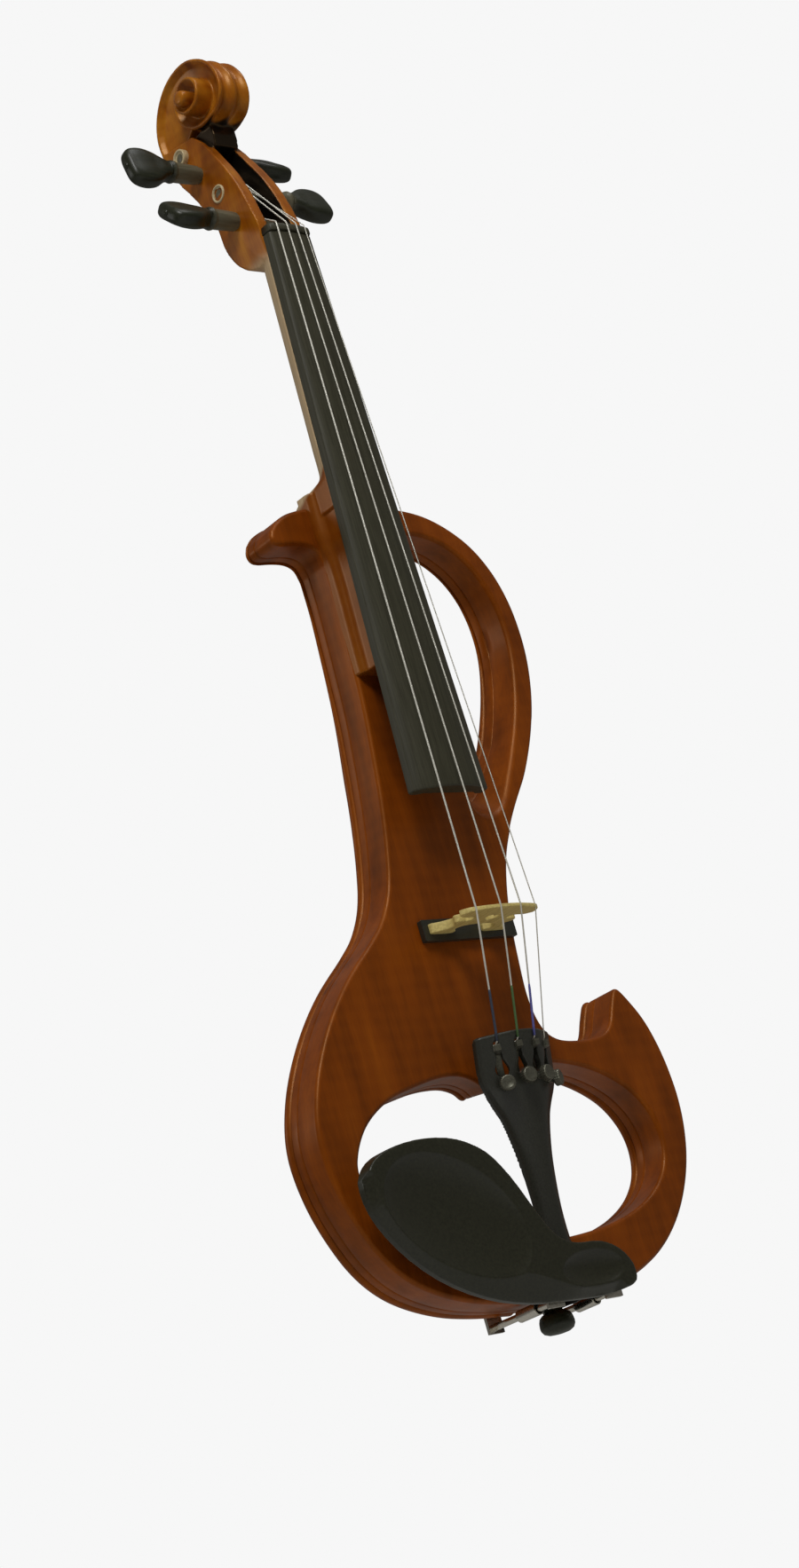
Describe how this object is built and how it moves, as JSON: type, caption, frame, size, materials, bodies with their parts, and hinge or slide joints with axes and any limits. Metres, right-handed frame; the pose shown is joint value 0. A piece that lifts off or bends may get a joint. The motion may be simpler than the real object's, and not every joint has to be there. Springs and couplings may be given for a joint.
{
  "type": "electric violin",
  "caption": "Full-size electric violin with an open wooden body, fine-tuner tailpiece, clamped chinrest, turning pegs and a pickup with controls in the back.",
  "frame": {"origin": "tail end of the body, on the centre line of its front face", "axes": "+Z from the tail to the scroll, -Y out of the front towards the strings, +X the treble side"},
  "size_m": [0.2044, 0.0705, 0.6046],
  "materials": {
    "varnish": "deep amber-brown gloss varnish over figured maple",
    "varnish_neck": "amber-red gloss varnish on the head, thin satin oil on the neck's back",
    "ebony": "dyed black hardwood, satin",
    "ebony_gloss": "polished black hardwood",
    "maple": "unvarnished pale maple",
    "bone": "pale smooth lining with a dark centre",
    "composite": "black moulded composite, satin gloss",
    "chinrest": "black moulded composite, satin",
    "tuner": "black plated metal",
    "nickel": "nickel plated",
    "string_wire": "flat wound steel with coloured silk at the tailpiece end",
    "cork": "cork sheet",
    "nylon": "black nylon cord",
    "circuit": "circuit board, green mask",
    "cell": "dark printed metal case without lettering"
  },
  "bodies": {
    "violin": {"body_core": "varnish", "back_plate": "varnish", "neck": "varnish_neck", "fingerboard": "ebony", "nut": "ebony", "bridge": "maple", "pickup_bar": "composite", "pickup_lead": "nylon", "tailpiece": "composite", "string_g": "string_wire", "string_d": "string_wire", "string_a": "string_wire", "string_e": "string_wire", "tailgut": "nylon", "saddle": "ebony", "end_button": "ebony_gloss", "peg_bushing_g": "bone", "peg_bushing_d": "bone", "peg_bushing_a": "bone", "peg_bushing_e": "bone", "chinrest": "chinrest", "chinrest_cork_left": "cork", "chinrest_cork_right": "cork", "clamp_bracket_left": "nickel", "clamp_bracket_right": "nickel", "clamp_foot": "nickel", "clamp_cork": "cork", "control_panel": "composite", "panel_screw_1": "nickel", "panel_screw_2": "nickel", "panel_screw_3": "nickel", "panel_screw_4": "nickel", "output_jack": "nickel", "headphone_jack": "nickel", "preamp_board": "circuit", "battery": "cell"},
    "peg_g": {"peg_g": "ebony_gloss"},
    "peg_d": {"peg_d": "ebony_gloss"},
    "peg_a": {"peg_a": "ebony_gloss"},
    "peg_e": {"peg_e": "ebony_gloss"},
    "tuner_screw_g": {"tuner_screw_g": "tuner"},
    "tuner_lever_g": {"tuner_lever_g": "tuner"},
    "tuner_screw_d": {"tuner_screw_d": "tuner"},
    "tuner_lever_d": {"tuner_lever_d": "tuner"},
    "tuner_screw_a": {"tuner_screw_a": "tuner"},
    "tuner_lever_a": {"tuner_lever_a": "tuner"},
    "tuner_screw_e": {"tuner_screw_e": "tuner"},
    "tuner_lever_e": {"tuner_lever_e": "tuner"},
    "clamp_barrel_left": {"clamp_barrel_left": "nickel"},
    "clamp_barrel_right": {"clamp_barrel_right": "nickel"},
    "volume_knob": {"volume_knob": "composite"},
    "tone_knob": {"tone_knob": "composite"},
    "battery_door": {"battery_door": "composite"}
  },
  "joints": [
    {"name": "peg_g_turn", "type": "hinge", "parent": "violin", "child": "peg_g", "pos_m": [0, -0.0035, 0.501], "axis": [-1, 0, 0], "continuous": true},
    {"name": "peg_d_turn", "type": "hinge", "parent": "violin", "child": "peg_d", "pos_m": [0, 0.0125, 0.535], "axis": [-1, 0, 0], "continuous": true},
    {"name": "peg_a_turn", "type": "hinge", "parent": "violin", "child": "peg_a", "pos_m": [0, 0.0205, 0.549], "axis": [1, 0, 0], "continuous": true},
    {"name": "peg_e_turn", "type": "hinge", "parent": "violin", "child": "peg_e", "pos_m": [0, 0.002, 0.519], "axis": [1, 0, 0], "continuous": true},
    {"name": "tuner_screw_g_turn", "type": "hinge", "parent": "violin", "child": "tuner_screw_g", "pos_m": [-0.00999, -0.00922, 0.0875], "axis": [0.5354, 0.8446, 0], "range_deg": [0, 720]},
    {"name": "tuner_lever_g_tilt", "type": "hinge", "parent": "violin", "child": "tuner_lever_g", "pos_m": [-0.0104, -0.00988, 0.0985], "axis": [0.8446, -0.5354, 0], "range_deg": [0, 5]},
    {"name": "tuner_screw_d_turn", "type": "hinge", "parent": "violin", "child": "tuner_screw_d", "pos_m": [-0.00355, -0.01209, 0.089], "axis": [0.1875, 0.9823, 0], "range_deg": [0, 720]},
    {"name": "tuner_lever_d_tilt", "type": "hinge", "parent": "violin", "child": "tuner_lever_d", "pos_m": [-0.00364, -0.01256, 0.0985], "axis": [0.9823, -0.1875, 0], "range_deg": [0, 5]},
    {"name": "tuner_screw_a_turn", "type": "hinge", "parent": "violin", "child": "tuner_screw_a", "pos_m": [0.00355, -0.01209, 0.089], "axis": [-0.1875, 0.9823, 0], "range_deg": [0, 720]},
    {"name": "tuner_lever_a_tilt", "type": "hinge", "parent": "violin", "child": "tuner_lever_a", "pos_m": [0.00364, -0.01256, 0.0985], "axis": [0.9823, 0.1875, 0], "range_deg": [0, 5]},
    {"name": "tuner_screw_e_turn", "type": "hinge", "parent": "violin", "child": "tuner_screw_e", "pos_m": [0.00999, -0.00922, 0.0875], "axis": [-0.5354, 0.8446, 0], "range_deg": [0, 720]},
    {"name": "tuner_lever_e_tilt", "type": "hinge", "parent": "violin", "child": "tuner_lever_e", "pos_m": [0.0104, -0.00988, 0.0985], "axis": [0.8446, 0.5354, 0], "range_deg": [0, 5]},
    {"name": "clamp_barrel_left_turn", "type": "hinge", "parent": "violin", "child": "clamp_barrel_left", "pos_m": [-0.021, 0.003, -0.0033], "axis": [0, 1, 0], "continuous": true},
    {"name": "clamp_barrel_right_turn", "type": "hinge", "parent": "violin", "child": "clamp_barrel_right", "pos_m": [0.0115, 0.003, -0.0033], "axis": [0, 1, 0], "continuous": true},
    {"name": "volume_knob_turn", "type": "hinge", "parent": "violin", "child": "volume_knob", "pos_m": [-0.017, 0.03, 0.17], "axis": [0, 1, 0], "range_deg": [0, 300]},
    {"name": "tone_knob_turn", "type": "hinge", "parent": "violin", "child": "tone_knob", "pos_m": [0.013, 0.03, 0.17], "axis": [0, 1, 0], "range_deg": [0, 300]},
    {"name": "battery_door_swing", "type": "hinge", "parent": "violin", "child": "battery_door", "pos_m": [-0.03, 0.0229, 0.1077], "axis": [-1, 0, 0], "range_deg": [0, 100]}
  ],
  "couplings": [
    {"joint": "tuner_lever_g_tilt", "follows": "tuner_screw_g_turn", "ratio": 0.0069444},
    {"joint": "tuner_lever_d_tilt", "follows": "tuner_screw_d_turn", "ratio": 0.0069444},
    {"joint": "tuner_lever_a_tilt", "follows": "tuner_screw_a_turn", "ratio": 0.0069444},
    {"joint": "tuner_lever_e_tilt", "follows": "tuner_screw_e_turn", "ratio": 0.0069444}
  ]
}
